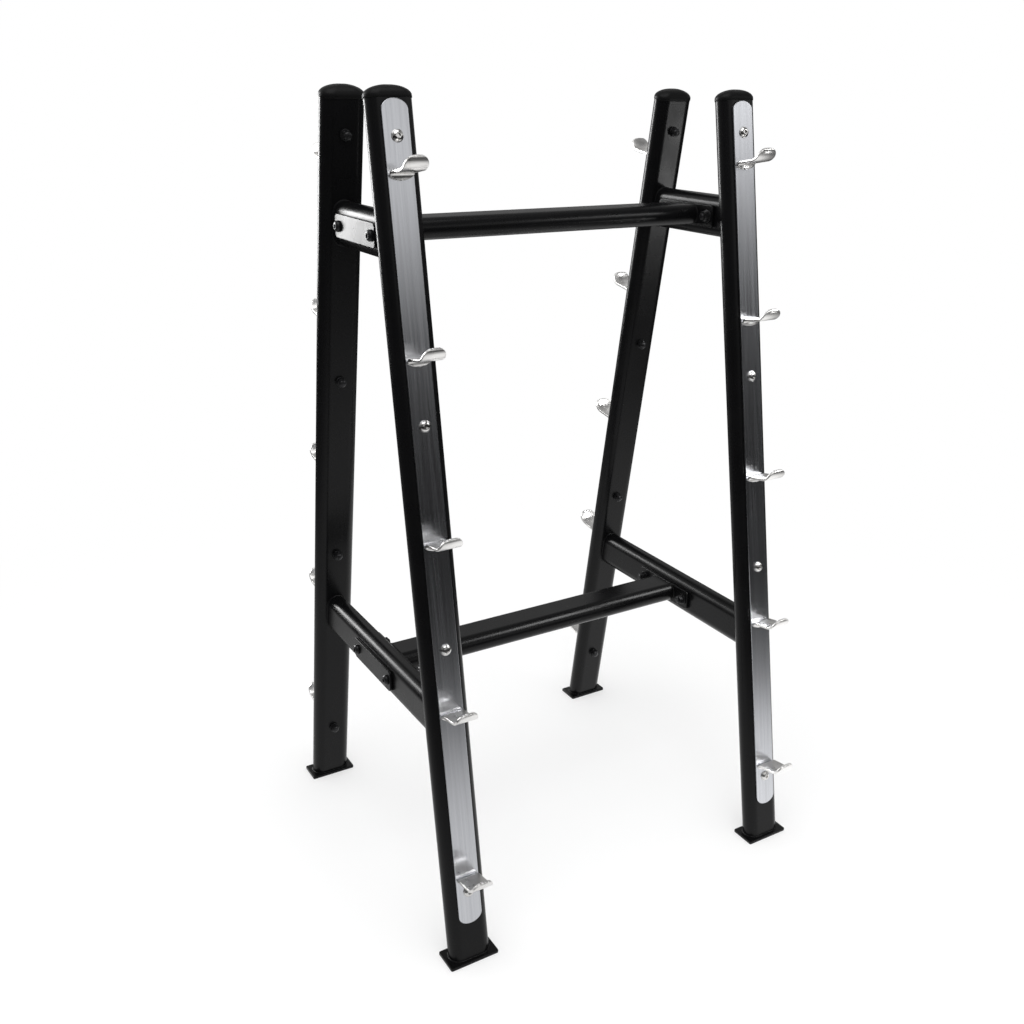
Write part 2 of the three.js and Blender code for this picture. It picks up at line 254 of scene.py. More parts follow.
def oval_outline(wide, deep, end=None):
    """Flat oval, anticlockwise, with its long side along X.

    A close pair of points stands by each corner of arc and flat. The ends are half-round, or
    half ellipses where another depth is given for them.
    """
    half = deep / 2
    end = half if end is None else end
    reach = wide / 2 - end
    points = []
    for centre, start in ((reach, -math.pi / 2), (-reach, math.pi / 2)):
        sign = 1 if centre > 0 else -1
        points.append(Vector((centre - sign * FLAT_MARGIN, -sign * half)))
        for step in range(ARC_STEPS + 1):
            angle = start + math.pi * step / ARC_STEPS
            points.append(Vector((centre + end * math.cos(angle), half * math.sin(angle))))
        points.append(Vector((centre - sign * FLAT_MARGIN, sign * half)))
    return points


def rounded_outline(wide, tall, corner, steps=CORNER_STEPS):
    """Rectangle with round corners, anticlockwise."""
    points = []
    for x_sign, y_sign, start in ((1, -1, -90), (1, 1, 0), (-1, 1, 90), (-1, -1, 180)):
        centre = Vector((x_sign * (wide / 2 - corner), y_sign * (tall / 2 - corner)))
        for step in range(steps + 1):
            angle = math.radians(start + 90 * step / steps)
            points.append(centre + corner * Vector((math.cos(angle), math.sin(angle))))
    return points


def skin(bm, rings, ends="capped"):
    """Faces between rings of points; the ends are capped, or joined to each other."""
    rows = [[bm.verts.new(point) for point in ring] for ring in rings]
    if ends == "joined":
        rows.append(rows[0])
    count = len(rows[0])
    for low, high in zip(rows, rows[1:]):
        for step in range(count):
            after = (step + 1) % count
            bm.faces.new((low[step], low[after], high[after], high[step]))
    if ends == "capped":
        bm.faces.new(rows[0][::-1])
        bm.faces.new(rows[-1])


def plane_uv(bm, across, along):
    """UV in metres across and along a plate, and through it where a face stands on edge."""
    layer = bm.loops.layers.uv.new("UVMap")
    through = across.cross(along)
    bm.normal_update()
    for face in bm.faces:
        steepest = max((across, along, through), key=lambda axis: abs(face.normal.dot(axis)))
        first = through if steepest is across else across
        second = through if steepest is along else along
        for loop in face.loops:
            loop[layer].uv = (loop.vert.co.dot(first), loop.vert.co.dot(second))


def to_mesh(bm, name, smooth_degrees=38):
    """Ends a bmesh as a named mesh with outward faces and smooth shading between its edges."""
    bmesh.ops.remove_doubles(bm, verts=bm.verts, dist=0.001 * MM)
    bmesh.ops.recalc_face_normals(bm, faces=bm.faces)
    mesh = bpy.data.meshes.new(name)
    bm.to_mesh(mesh)
    bm.free()
    mesh.shade_smooth()
    mesh.set_sharp_from_angle(angle=math.radians(smooth_degrees))
    return mesh


def slab_mesh(name, outline_at, thick, rim, matrix, uv_axes=None):
    """Plate with rounded rims; outline_at gives its outline drawn in by an inset."""
    quarter = [math.pi / 2 * step / RIM_STEPS for step in range(RIM_STEPS + 1)]
    levels = [(rim + FLAT_MARGIN, 0)]
    levels += [(rim * (1 - math.sin(turn)), rim * (1 - math.cos(turn))) for turn in quarter]
    levels += [(inset, thick - height) for inset, height in reversed(levels)]
    bm = bmesh.new()
    skin(bm, [[Vector((p.x, p.y, z)) for p in outline_at(inset)] for inset, z in levels])
    if uv_axes:
        plane_uv(bm, *uv_axes)
    bmesh.ops.transform(bm, matrix=matrix, verts=bm.verts)
    return to_mesh(bm, name)


def plate_mesh(name, size, corner, rim, matrix):
    """Rectangular plate with round corners, lying on the matrix's XY plane."""
    wide, tall, thick = size

    def outline_at(inset):
        return rounded_outline(wide - 2 * inset, tall - 2 * inset, corner - inset)

    return slab_mesh(name, outline_at, thick, rim, matrix)


def put(name, data):
    """Puts an object with this data in the scene."""
    thing = bpy.data.objects.new(name, data)
    bpy.context.scene.collection.objects.link(thing)
    return thing


def add_piece(mesh, coat, nodes=()):
    """Puts a finished mesh in the scene as a piece that rides on the rack."""
    mesh.materials.clear()
    mesh.materials.append(finish(coat))
    piece = put(mesh.name, mesh)
    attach(piece, BODY)
    if nodes:
        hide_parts(*nodes)


def leg_matrix(side, end):
    """Frame of one leg."""
    turn = Matrix.Rotation(math.pi if end > 0 else 0, 4, "Z")
    turn = turn @ Matrix.Rotation(-LEAN, 4, "X")
    return Matrix.Translation((side * HALF_SPACING, end * HALF_BASE, 0)) @ turn


def side_matrix(side, level):
    """Frame of one bolted joint: its middle, with +X pointing out of the rack."""
    place = Matrix.Translation((side * HALF_SPACING, 0, BRACE_HEIGHTS[level]))
    return place @ Matrix.Rotation(0 if side > 0 else math.pi, 4, "Z")


def each_leg():
    """Name and frame of every leg."""
    for side_name, side in SIDES:
        for end_name, end in ENDS:
            yield f"{end_name}_{side_name}", leg_matrix(side, end)


def each_joint():
    """Name, side and level of every bolted joint."""
    for side_name, side in SIDES:
        for level in LEVELS:
            yield f"{side_name}_{level}", side, level


# Nodes


def plug(tree, socket, value):
    """Links a socket into an input, or sets the input to a plain value."""
    if isinstance(value, bpy.types.NodeSocket):
        tree.links.new(value, socket)
    else:
        socket.default_value = value


def feed(tree, node, **inputs):
    """Plugs a node's inputs by name; underscores stand for spaces."""
    for key, value in inputs.items():
        plug(tree, node.inputs[key.replace("_", " ")], value)
    return node


def output(tree, kind, **inputs):
    """First output of a new node whose inputs are plugged by name."""
    return feed(tree, tree.nodes.new(kind), **inputs).outputs[0]


def in_order(tree, node, *values):
    """First output of a node whose inputs are plugged in their order."""
    for socket, value in zip(node.inputs, values):
        plug(tree, socket, value)
    return node.outputs[0]


def math_node(tree, operation, *operands):
    """Result of a math node on sockets or plain numbers."""
    node = tree.nodes.new("ShaderNodeMath")
    node.operation = operation
    return in_order(tree, node, *operands)


def map_range(tree, value, before, after, smooth=False):
    """A value moved from one range to another."""
    node = tree.nodes.new("ShaderNodeMapRange")
    if smooth:
        node.interpolation_type = "SMOOTHSTEP"
    return in_order(tree, node, value, *before, *after)


def ramp(tree, value, stops):
    """Grey level along a value from 0 to 1; stops are (position, grey)."""
    node = tree.nodes.new("ShaderNodeValToRGB")
    elements = node.color_ramp.elements
    while len(elements) < len(stops):
        elements.new(0.5)
    for element, (position, grey) in zip(elements, stops):
        element.position = position
        element.color = (grey, grey, grey, 1)
    return in_order(tree, node, value)


def blend(tree, factor, first, second):
    """Colour between two others; the colours are a mix node's inputs 6 and 7."""
    mix = tree.nodes.new("ShaderNodeMix")
    mix.data_type = "RGBA"
    for index, value in ((0, factor), (6, first), (7, second)):
        plug(tree, mix.inputs[index], value)
    return mix.outputs[2]


# Finishes


def new_material(name):
    """A material with its Principled shader."""
    material = bpy.data.materials.new(name)
    material.use_nodes = True
    return material, material.node_tree, material.node_tree.nodes["Principled BSDF"]


def noise_on(tree, source, scale, detail, stretch=(1, 1, 1)):
    """Noise on object coordinates or UV, stretched along its axes."""
    place = tree.nodes.new("ShaderNodeTexCoord").outputs[source]
    mapped = output(tree, "ShaderNodeMapping", Vector=place, Scale=stretch)
    return output(tree, "ShaderNodeTexNoise", Vector=mapped, Scale=scale, Detail=detail)


def spread(tree, noise, low, high, sharp=0.25):
    """Maps the middle of a noise onto the range from low to high."""
    return map_range(tree, noise, (0.5 - sharp, 0.5 + sharp), (low, high))


def shade_of(tree, noise, colour, low, high):
    """A colour that a noise makes a little darker or lighter."""
    dark = (*(part * low for part in colour), 1)
    light = (*(min(1, part * high) for part in colour), 1)
    return blend(tree, noise, dark, light)


def bump(tree, shader, height, strength, depth):
    """Sets a bump on a shader."""
    normal = output(tree, "ShaderNodeBump", Height=height, Strength=strength, Distance=depth)
    feed(tree, shader, Normal=normal)


def varied_finish(name, colour, shades, roughness, grain, strength, depth, cloud=None, **fixed):
    """Material whose bump follows a fine grain, and whose colour and gloss follow a cloud.

    Both are noises on the object, given as (scale, detail). Without a cloud, the grain varies
    colour and gloss too. The fixed values go to the shader's inputs of those names.
    """
    material, tree, shader = new_material(name)
    marks = noise_on(tree, "Object", *grain)
    tones = noise_on(tree, "Object", *cloud) if cloud else marks
    tone = shade_of(tree, tones, colour, *shades)
    gloss = spread(tree, tones, *roughness)
    feed(tree, shader, Base_Color=tone, Roughness=gloss, **fixed)
    bump(tree, shader, marks, strength, depth)
    return material


def powder_coat(finishes):
    """Semi-gloss black powder coat with its faint orange peel."""
    middle = finishes.coat_roughness
    return varied_finish(
        "powder_coat", finishes.coat_colour, shades=(0.85, 1.2),
        roughness=(middle - 0.04, middle + 0.05), grain=(420, 2), strength=0.12,
        depth=0.2 * MM, cloud=(14, 3), Specular_IOR_Level=0.17,
    )


def cap_plastic(finishes):
    """Moulded plastic of the end caps, with a fine spark-eroded grain."""
    return varied_finish(
        "cap_plastic", finishes.cap_colour, shades=(0.9, 1.15), roughness=(0.38, 0.48),
        grain=(1500, 2), strength=0.2, depth=0.1 * MM, cloud=(40, 2), Specular_IOR_Level=0.12,
    )


def nickel_plate(finishes):
    """Bright nickel over bent plate, with the soft waviness of a barrelled part."""
    return varied_finish(
        "nickel_plate", finishes.nickel_colour, shades=(0.95, 1.03), roughness=(0.24, 0.36),
        grain=(60, 2), strength=0.05, depth=0.3 * MM, Metallic=1,
    )


def bright_bolt(finishes):
    """Polished heads of the guard strip bolts."""
    return varied_finish(
        "bright_bolt", finishes.nickel_colour, shades=(0.72, 0.9), roughness=(0.10, 0.2),
        grain=(500, 3), strength=0.05, depth=0.05 * MM, Metallic=1,
    )


def black_zinc(finishes):
    """Black plated bolts and nuts, worn a little lighter where a tool has gripped them."""
    return varied_finish(
        "black_zinc", finishes.bolt_colour, shades=(0.7, 1.8), roughness=(0.22, 0.36),
        grain=(350, 4), strength=0.06, depth=0.05 * MM, Metallic=0.6,
    )


def guard_steel(finishes):
    """Stainless steel brushed along V of the strip's own UV map, with long dull bands."""
    material, tree, shader = new_material("guard_steel")
    colour, middle = finishes.steel_colour, finishes.steel_roughness
    streaks = noise_on(tree, "UV", scale=60, detail=4, stretch=(60, 0.5, 1))
    bands = noise_on(tree, "UV", scale=60, detail=2, stretch=(4, 0.08, 1))
    tones = noise_on(tree, "UV", scale=60, detail=3, stretch=(2, 0.03, 1))
    dull = (*(part * STEEL_DULL_SHARE for part in colour), 1)
    brushed = shade_of(tree, streaks, colour, low=0.93, high=1.04)
    tangent = tree.nodes.new("ShaderNodeTangent")
    tangent.direction_type = "UV_MAP"
    tangent.uv_map = "UVMap"
    feed(
        tree, shader, Metallic=1, Anisotropic=0.6, Tangent=tangent.outputs["Tangent"],
        Base_Color=blend(tree, spread(tree, tones, 0, 1, sharp=0.2), dull, brushed),
        Roughness=spread(tree, bands, middle - 0.04, middle + 0.06),
    )
    bump(tree, shader, streaks, strength=0.06, depth=0.05 * MM)
    return material


FINISHES = {
    maker.__name__: maker
    for maker in (powder_coat, cap_plastic, nickel_plate, bright_bolt, black_zinc, guard_steel)
}


def finish(name):
    """The finish of that name, made once."""
    made = bpy.data.materials.get(name)
    return made or FINISHES[name](bpy.context.scene.rack_finishes)


# Geometry Nodes


def node_group(name, sockets):
    """A geometry node group and its inputs; each is given as (name, type, default)."""
    tree = bpy.data.node_groups.new(name, "GeometryNodeTree")
    interface = tree.interface
    interface.new_socket("Geometry", in_out="INPUT", socket_type="NodeSocketGeometry")
    for label, kind, default in (*sockets, ("Finish", "NodeSocketMaterial", None)):
        socket = interface.new_socket(label, in_out="INPUT", socket_type=kind)
        if default is not None:
            socket.default_value = default
    interface.new_socket("Geometry", in_out="OUTPUT", socket_type="NodeSocketGeometry")
    return tree, tree.nodes.new("NodeGroupInput").outputs


def end_group(tree, given, grown):
    """Ends a node group in real geometry with its finish."""
    real = output(tree, "GeometryNodeRealizeInstances", Geometry=grown)
    coated = output(tree, "GeometryNodeSetMaterial", Geometry=real, Material=given["Finish"])
    feed(tree, tree.nodes.new("NodeGroupOutput"), Geometry=coated)
    return tree


def repeat_tree():
    """Copies of one object on marked points, each turned as its mark says."""
    tree, given = node_group("repeat_on_marks", (("Piece", "NodeSocketObject", None),))
    source = feed(tree, tree.nodes.new("GeometryNodeObjectInfo"), Object=given["Piece"])
    turn = feed(tree, tree.nodes.new("GeometryNodeInputNamedAttribute"), Name="turn")
    turn.data_type = "FLOAT_VECTOR"
    copies = output(
        tree, "GeometryNodeInstanceOnPoints",
        Points=given["Geometry"], Instance=source.outputs["Geometry"],
        Rotation=output(tree, "FunctionNodeEulerToRotation", Euler=turn.outputs["Attribute"]),
    )
    return end_group(tree, given, copies)


def bead_tree():
    """Rippled weld beads along edges."""
    tree, given = node_group("weld_beads", (
        ("Bead", "NodeSocketFloat", 3 * MM),
        ("Pitch", "NodeSocketFloat", 4 * MM),
        ("Ripple", "NodeSocketFloat", BEAD_RIPPLE),
    ))
    even = tree.nodes.new("GeometryNodeResampleCurve")
    even.mode = "LENGTH"
    feed(
        tree, even, Curve=output(tree, "GeometryNodeMeshToCurve", Mesh=given["Geometry"]),
        Length=math_node(tree, "DIVIDE", given["Pitch"], RIPPLE_STEPS),
    )
    place = tree.nodes.new("GeometryNodeSplineParameter").outputs["Length"]
    waves = math_node(tree, "DIVIDE", place, given["Pitch"])
    sine = math_node(tree, "SINE", math_node(tree, "MULTIPLY", waves, 2 * math.pi))
    swell = math_node(tree, "MULTIPLY_ADD", sine, given["Ripple"], 1)
    section = output(
        tree, "GeometryNodeCurvePrimitiveCircle", Resolution=BEAD_SECTION_STEPS, Radius=1
    )
    bead = output(
        tree, "GeometryNodeCurveToMesh", Curve=even.outputs["Curve"], Profile_Curve=section,
        Scale=math_node(tree, "MULTIPLY", swell, given["Bead"]), Fill_Caps=True,
    )
    return end_group(tree, given, output(tree, "GeometryNodeSetShadeSmooth", Geometry=bead))


def grown_mesh(name, carrier_mesh, tree, values):
    """Plain mesh that a node group grows from a carrier mesh."""
    carrier = put(f"{name}_marks", carrier_mesh)
    modifier = carrier.modifiers.new("Growth", "NODES")
    modifier.node_group = tree
    for item in tree.interface.items_tree:
        if item.in_out == "INPUT" and item.name in values:
            modifier[item.identifier] = values[item.name]
    depsgraph = bpy.context.evaluated_depsgraph_get()
    mesh = bpy.data.meshes.new_from_object(
        carrier.evaluated_get(depsgraph), preserve_all_data_layers=True, depsgraph=depsgraph
    )
    mesh.name = name
    bpy.data.objects.remove(carrier)
    if not mesh.polygons:
        raise RuntimeError(f"{name}: the node group grew nothing")
    return mesh


def repeated(name, source_mesh, places, coat):
    """Plain mesh of a source mesh repeated at each placing matrix."""
    marks = bpy.data.meshes.new(f"{name}_marks")
    marks.from_pydata([place.translation for place in places], [], [])
    turns = marks.attributes.new("turn", "FLOAT_VECTOR", "POINT")
    for mark, place in zip(turns.data, places):
        mark.vector = place.to_euler()
    source = put(f"{name}_source", source_mesh)
    tree = bpy.data.node_groups.get("repeat_on_marks") or repeat_tree()
    mesh = grown_mesh(name, marks, tree, {"Piece": source, "Finish": finish(coat)})
    bpy.data.objects.remove(source)
    if "turn" in mesh.attributes:
        mesh.attributes.remove(mesh.attributes["turn"])
    return mesh


def beads(name, paths, radius, coat):
    """Plain mesh of weld beads along (points, closed) paths."""
    points, edges = [], []
    for path, closed in paths:
        first = len(points)
        points += path
        edges += [(first + step, first + step + 1) for step in range(len(path) - 1)]
        if closed:
            edges.append((first + len(path) - 1, first))
    lines = bpy.data.meshes.new(f"{name}_lines")
    lines.from_pydata(points, edges, [])
    tree = bpy.data.node_groups.get("weld_beads") or bead_tree()
    values = {"Bead": radius, "Pitch": radius * BEAD_PITCH_SHARE, "Finish": finish(coat)}
    return grown_mesh(name, lines, tree, values)


# Pieces


def tube_outline(sizes, wall=0):
    """Outline of the rack's tube, drawn in by a wall."""
    return oval_outline(sizes.tube_wide - 2 * wall, sizes.tube_deep - 2 * wall)


def add_tube(name, node, ring_at, start, end, wall):
    """Adds a tube; ring_at gives its outline at a place along it, drawn in by a wall."""
    bm = bmesh.new()
    rings = [ring_at(*place) for place in ((start, 0), (end, 0), (end, wall), (start, wall))]
    skin(bm, rings, ends="joined")
    add_piece(to_mesh(bm, name), "powder_coat", [node])


def upright_ring(sizes, matrix, height, wall=0):
    """Outline of an upright where a level plane cuts it, or at its end if no height is given."""
    return [
        matrix @ Vector((p.x, p.y, TUBE_END if height is None else (height + p.y * SINE) / COSINE))
        for p in tube_outline(sizes, wall)
    ]


class RACK_OT_uprights(bpy.types.Operator):
    """Makes the four leaning uprights"""

    bl_idname = "rack.uprights"
    bl_label = "Uprights"

    def execute(self, context):
        sizes = context.scene.rack_sizes
        floor_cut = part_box("front_left_foot")[1].z + SEAT_GAP
        for name, matrix in each_leg():
            ring_at = partial(upright_ring, sizes, matrix)
            add_tube(
                f"{name}_tube", f"{name}_upright", ring_at, floor_cut, None, sizes.tube_wall
            )
        return {"FINISHED"}


def cap_mesh(sizes, name, matrix):
    """Plug, brim and dome of an end cap."""
    plug_inset = 2 * (sizes.tube_wall + SEAT_GAP)
    plug = (sizes.tube_wide - plug_inset, sizes.tube_deep - plug_inset)
    brim_low = TUBE_END + SEAT_GAP
    wide = sizes.tube_wide + 2 * CAP_OVERHANG
    deep = sizes.tube_deep + 2 * CAP_OVERHANG
    levels = [(*plug, brim_low - CAP_PLUG), (*plug, brim_low)]
    corner = CAP_SOFTENING_MIDDLE * CAP_SOFTENING
    for inset, rise in ((CAP_SOFTENING, 0), (corner, corner), (0, CAP_SOFTENING)):
        levels.append((wide - 2 * inset, deep - 2 * inset, brim_low + rise))
    for step in range(DOME_STEPS + 1):
        angle = math.pi / 2 * step / DOME_STEPS
        share = max(math.cos(angle), CAP_CROWN_SHARE)
        height = brim_low + sizes.cap_brim + sizes.cap_rise * math.sin(angle)
        levels.append((wide * share, deep * share, height))
    reach = (wide - deep) / 2
    rings = []
    for level_wide, level_deep, height in levels:
        radius_share = level_deep / deep
        level_reach = (level_wide - level_deep) / 2
        ring = []
        for point in oval_outline(wide, deep):
            middle = max(-reach, min(reach, point.x))
            x = middle * level_reach / reach + (point.x - middle) * radius_share
            ring.append(matrix @ Vector((x, point.y * radius_share, height)))
        rings.append(ring)
    bm = bmesh.new()
    skin(bm, rings)
    return to_mesh(bm, name, smooth_degrees=50)


class RACK_OT_end_caps(bpy.types.Operator):
    """Makes the domed end caps of the uprights"""

    bl_idname = "rack.end_caps"
    bl_label = "End caps"

    def execute(self, context):
        sizes = context.scene.rack_sizes
        for name, matrix in each_leg():
            mesh = cap_mesh(sizes, f"{name}_end_cap", matrix)
            add_piece(mesh, "cap_plastic", [f"{name}_cap"])
        return {"FINISHED"}


class RACK_OT_feet(bpy.types.Operator):
    """Makes the foot plates"""

    bl_idname = "rack.feet"
    bl_label = "Feet"

    def execute(self, context):
        for name, _ in each_leg():
            low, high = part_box(f"{name}_foot")
            centre = (low + high) / 2
            place = Matrix.Translation((centre.x, centre.y, low.z))
            mesh = plate_mesh(f"{name}_foot_plate", high - low, FOOT_CORNER, FOOT_RIM, place)
            add_piece(mesh, "powder_coat", [f"{name}_foot"])
        return {"FINISHED"}


class RACK_OT_guard_strips(bpy.types.Operator):
    """Makes the brushed strips that guard the uprights"""

    bl_idname = "rack.guard_strips"
    bl_label = "Guard strips"

    def execute(self, context):
        sizes = context.scene.rack_sizes
        length = STRIP_HEAD - STRIP_FOOT
        stand = Matrix.Rotation(math.pi / 2, 4, "X") @ Matrix.Rotation(math.pi / 2, 4, "Z")
        back = -(sizes.tube_deep / 2 + SEAT_GAP)
        across, along = Vector((0, 1, 0)), Vector((1, 0, 0))

        def outline_at(inset):
            return oval_outline(
                length - 2 * inset, sizes.strip_wide - 2 * inset, STRIP_END - inset
            )

        for name, matrix in each_leg():
            place = matrix @ Matrix.Translation((0, back, (STRIP_FOOT + STRIP_HEAD) / 2)) @ stand
            mesh = slab_mesh(
                f"{name}_guard_bar", outline_at, sizes.strip_thick, STRIP_RIM, place,
                (across, along),
            )
            add_piece(mesh, "guard_steel", [f"{name}_guard_strip"])
        return {"FINISHED"}


def strip_face(sizes):
    """Distance from a leg's axis to the outer face of its guard strip."""
    return sizes.tube_deep / 2 + SEAT_GAP + sizes.strip_thick


def plate_face(sizes):
    """Distance from a brace's middle to the outer face of a bolted plate."""
    return sizes.tube_deep / 2 + SEAT_GAP + PLATE_SIZE[2]


# Profiles of turned parts as (radius, height) in millimetres. A hexagon row ends in its
# size across the flats.
GUARD_HEAD = (
    (0, -0.8), (10.4, -0.8), (10.4, 0.9), (10.2, 1.3), (9.8, 1.5), (9.3, 1.5),
    (9.3, 2.1), (9.1, 2.9), (8.6, 3.8), (7.7, 4.8), (6.5, 5.6), (5.3, 6.1), (4.4, 6.35),
    (4.0, 6.3, 6.9), (3.8, 6.0, 6.4), (3.8, 3.2, 6.4), (0, 3.0),
)
GUARD_NUT = (
    (0, -0.2), (9.9, -0.2), (9.9, 1.1), (9.7, 1.4), (9.3, 1.5), (8.6, 1.5, 17), (9.9, 2.1, 17),
    (9.9, 7.9, 17), (8.6, 8.5, 17), (7.3, 8.6), (7.3, 9.2), (7.0, 10.6), (6.2, 11.9),
    (4.8, 12.9), (2.8, 13.4), (0, 13.5),
)
JOINT_HEAD = (
    (0, -0.2), (9.6, -0.2), (10.0, 0.2), (10.0, 1.7), (9.8, 2.7), (9.3, 3.8), (8.4, 4.9),
    (7.2, 5.9), (5.9, 6.5), (4.9, 6.8), (4.5, 6.75, 7.9), (4.3, 6.4, 7.4), (4.3, 3.2, 7.4),
    (0, 3.0),
)
JOINT_NUT = (
    (0, -0.2), (11.9, -0.2), (11.9, 2.0), (11.7, 2.3), (11.2, 2.5), (9.2, 2.5, 18),
    (10.5, 3.1, 18), (10.5, 11.7, 18), (9.2, 12.5, 18), (7.4, 12.5), (6.0, 12.1),
    (6.0, 12.7), (5.3, 13.1), (6.0, 13.6), (5.3, 14.2), (6.0, 14.8), (5.3, 15.3),
    (4.8, 16.3), (0, 16.4),
)


def hexagon_reach(across_flats, angle):
    """Distance from the centre of a hexagon to its edge."""
    third = math.pi / 3
    return across_flats / 2 / math.cos((angle % third) - third / 2)


def turned_mesh(name, profile):
    """Turned part on +Z, closed by a fan where its profile comes to radius zero."""
    bm = bmesh.new()
    rings = []
    for radius, height, *across_flats in profile:
        ring = []
        for step in range(TURNED_STEPS if radius else 1):
            angle = 2 * math.pi * step / TURNED_STEPS
            reach = radius * MM
            if across_flats:
                reach = min(reach, hexagon_reach(across_flats[0] * MM, angle))
            place = (reach * math.cos(angle), reach * math.sin(angle), height * MM)
            ring.append(bm.verts.new(place))
        rings.append(ring)
    for low, high in zip(rings, rings[1:]):
        for step in range(TURNED_STEPS):
            after = (step + 1) % TURNED_STEPS
            corners = [low[step % len(low)], low[after % len(low)]]
            corners += [high[after % len(high)], high[step % len(high)]]
            bm.faces.new(dict.fromkeys(corners))
    return to_mesh(bm, name, smooth_degrees=32)


def add_turned(name, profile, marks, coat, nodes=()):
    """Adds a turned part that is repeated on its marks."""
    source = turned_mesh(f"{name}_source", profile)
    add_piece(repeated(name, source, marks, coat), coat, nodes)


class RACK_OT_guard_bolts(bpy.types.Operator):
    """Sets the socket heads and domed nuts of the guard strip bolts"""

    bl_idname = "rack.guard_bolts"
    bl_label = "Guard strip bolts"

    def execute(self, context):
        sizes = context.scene.rack_sizes
        heads, nuts = [], []
        for _, matrix in each_leg():
            for height in GUARD_BOLTS:
                spin = Matrix.Rotation(GUARD_BOLT_SPIN * len(heads), 4, "Z")
                for marks, y, turn in (
                    (heads, -strip_face(sizes), math.pi / 2),
                    (nuts, sizes.tube_deep / 2 + SEAT_GAP, -math.pi / 2),
                ):
                    place = Matrix.Translation((0, y, height)) @ Matrix.Rotation(turn, 4, "X")
                    marks.append(matrix @ place @ spin)
        add_turned("guard_bolt_heads", GUARD_HEAD, heads, "bright_bolt")
        add_turned("guard_bolt_nuts", GUARD_NUT, nuts, "black_zinc")
        return {"FINISHED"}


def hook_stations(sizes):
    """Places along a hook's plate, from tongue to toe: out, up, direction, half width."""
    half_wide = sizes.hook_wide / 2
    middle = sizes.hook_thick / 2
    drop = HOOK_TONGUE - middle
    arc_top = HOOK_TOE_BEND * (1 - math.cos(HOOK_TOE_ANGLE))
    toe_top = arc_top + HOOK_TOE_END * math.sin(HOOK_TOE_ANGLE)

    def width_at(up):
        if up < -middle:
            return half_wide * math.sqrt(max(0, 1 - ((-middle - up) / drop) ** 2))
        rise = HOOK_TOE_CORNER - (toe_top - up)
        if rise > 0:
            return half_wide - HOOK_TOE_CORNER + math.sqrt(HOOK_TOE_CORNER**2 - rise**2)
        return half_wide

    places = []
    for turn in TONGUE_ANGLES:
        up = -middle - drop * math.sin(turn)
        if up < -HOOK_BEND:
            places.append((middle, up, math.pi / 2))
    for step in range(BEND_STEPS + 1):
        turn = math.pi / 2 * step / BEND_STEPS
        out = middle + HOOK_BEND * (1 - math.cos(turn))
        places.append((out, -HOOK_BEND * (1 - math.sin(turn)), math.pi / 2 - turn))
    places.append((sizes.hook_shelf * HOOK_SHELF_SHARE, 0, 0))
    toe_angles = [HOOK_TOE_ANGLE * step / TOE_STEPS for step in range(TOE_STEPS + 1)]
    heights = {HOOK_TOE_BEND * (1 - math.cos(angle)) for angle in toe_angles}
    heights |= {toe_top - HOOK_TOE_CORNER * (1 - math.cos(angle)) for angle in TOE_CORNER_ANGLES}
    for up in sorted(heights):
        turn = math.acos(1 - up / HOOK_TOE_BEND) if up <= arc_top else HOOK_TOE_ANGLE
        out = sizes.hook_shelf + HOOK_TOE_BEND * math.sin(turn)
        if up > arc_top:
            out += (up - arc_top) / math.tan(turn)
        places.append((out, up, turn))
    return [(out, up, turn, width_at(up)) for out, up, turn in places]


def hook_mesh(sizes):
    """One bent hook, its back at Y = 0 and its shelf's middle plane at Z = 0."""
    tongue, *between, toe = hook_stations(sizes)
    rim = [
        (HOOK_RIM * (1 - math.cos(turn)), HOOK_RIM * (1 - math.sin(turn)))
        for turn in HOOK_RIM_ANGLES
    ]
    grown = [(tongue, setback - HOOK_RIM, inset) for setback, inset in reversed(rim)]
    grown += [(station, 0, 0) for station in between]
    grown += [(toe, -setback, inset) for setback, inset in rim]
    rings = []
    for (out, up, turn, half_wide), shift, inset in grown:
        out += shift * math.cos(turn)
        up += shift * math.sin(turn)
        wide, thick = 2 * (half_wide - inset), sizes.hook_thick - 2 * inset
        rings.append([
            Vector((p.x, -(out - p.y * math.sin(turn)), up + p.y * math.cos(turn)))
            for p in rounded_outline(wide, thick, HOOK_RIM * HOOK_RIM_SHARE, steps=2)
        ])
    bm = bmesh.new()
    skin(bm, rings)
    return to_mesh(bm, "hook_source", smooth_degrees=60)


class RACK_OT_hooks(bpy.types.Operator):
    """Sets five bent hooks on every guard strip"""

    bl_idname = "rack.hooks"
    bl_label = "Hooks"

    def execute(self, context):
        sizes = context.scene.rack_sizes
        back = -(strip_face(sizes) + SEAT_GAP)
        source = hook_mesh(sizes)
        for name, matrix in each_leg():
            marks = [matrix @ Matrix.Translation((0, back, up)) for up in HOOK_SHELVES]
            mesh = repeated(f"{name}_hooks", source, marks, "nickel_plate")
            nodes = [f"{name}_hook_{row}" for row in HOOK_ROWS]
            add_piece(mesh, "nickel_plate", nodes)
        return {"FINISHED"}


def brace_ring(sizes, side, level, end, wall=0):
    """Outline of a brace where it meets the inner face of an upright."""
    depth = sizes.tube_deep / 2 + SEAT_GAP
    ring = []
    for point in tube_outline(sizes, wall):
        height = BRACE_HEIGHTS[level] + point.x
        inner_y = -HALF_BASE + (height + depth * SINE) * SINE / COSINE + depth * COSINE
        ring.append(Vector((side * HALF_SPACING + point.y, -end * inner_y, height)))
    return ring


